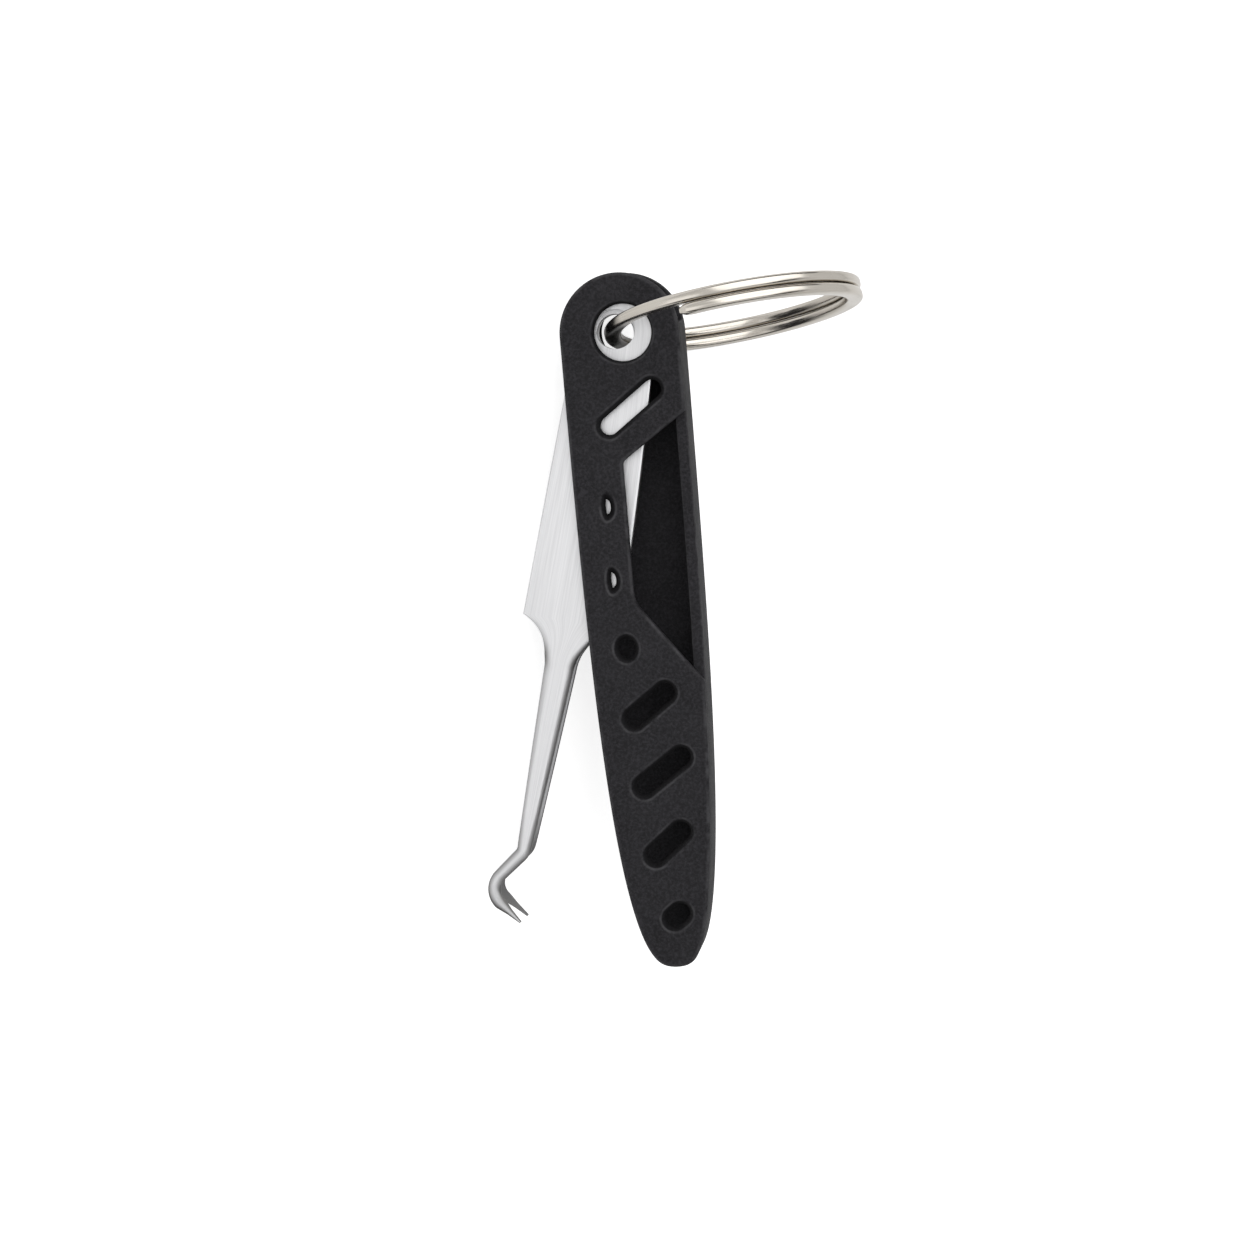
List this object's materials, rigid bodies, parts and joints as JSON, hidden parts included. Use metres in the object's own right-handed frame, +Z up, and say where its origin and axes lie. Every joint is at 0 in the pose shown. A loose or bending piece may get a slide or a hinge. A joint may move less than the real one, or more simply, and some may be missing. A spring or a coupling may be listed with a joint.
{
  "type": "folding pocket tweezers",
  "caption": "Hooked steel tweezers that swing out of a slotted black plastic sheath, both threaded on a split key ring.",
  "frame": {"origin": "middle of the bounding box at table height, with the tool lying as it rests: on the ring's rim, the sheath's open edge and the hook of the rear blade", "axes": "+Z up from the table, +Y along the sheath towards its ring end, +X to the right across the sheath towards the side that the ring stands out of"},
  "size_m": [0.0362, 0.0672, 0.0243],
  "materials": {
    "sheath_plastic": "matte, finely grained moulding",
    "blade_steel": "satin, brushed along the blade",
    "ring_nickel": "bright nickel plate"
  },
  "bodies": {
    "sheath": {"front_plate": "sheath_plastic", "rear_shell": "sheath_plastic"},
    "tweezers": {"heel_spacer": "blade_steel"},
    "front_arm": {"front_blade": "blade_steel"},
    "rear_arm": {"rear_blade": "blade_steel"},
    "ring": {"split_ring": "ring_nickel"}
  },
  "joints": [
    {"name": "tweezer_swing", "type": "hinge", "parent": "sheath", "child": "tweezers", "pos_m": [-0.00344, 0.02737, 0.00556], "axis": [0.5926, -0.0894, -0.8005], "range_deg": [-13, 200]},
    {"name": "front_squeeze", "type": "hinge", "parent": "tweezers", "child": "front_arm", "pos_m": [-0.00456, 0.02148, 0.00539], "axis": [0.7836, -0.1664, 0.5986], "range_deg": [0, 1.5], "stiffness_Nm_per_rad": 0.06},
    {"name": "rear_squeeze", "type": "hinge", "parent": "tweezers", "child": "rear_arm", "pos_m": [-0.00456, 0.02148, 0.00539], "axis": [-0.7836, 0.1664, -0.5986], "range_deg": [0, 1.5], "stiffness_Nm_per_rad": 0.06},
    {"name": "ring_swing", "type": "hinge", "parent": "sheath", "child": "ring", "pos_m": [-0.00331, 0.02738, 0.00566], "axis": [-0.5926, 0.0894, 0.8005], "range_deg": [-70, 225]}
  ],
  "couplings": [
    {"joint": "rear_squeeze", "follows": "front_squeeze", "ratio": 1}
  ]
}
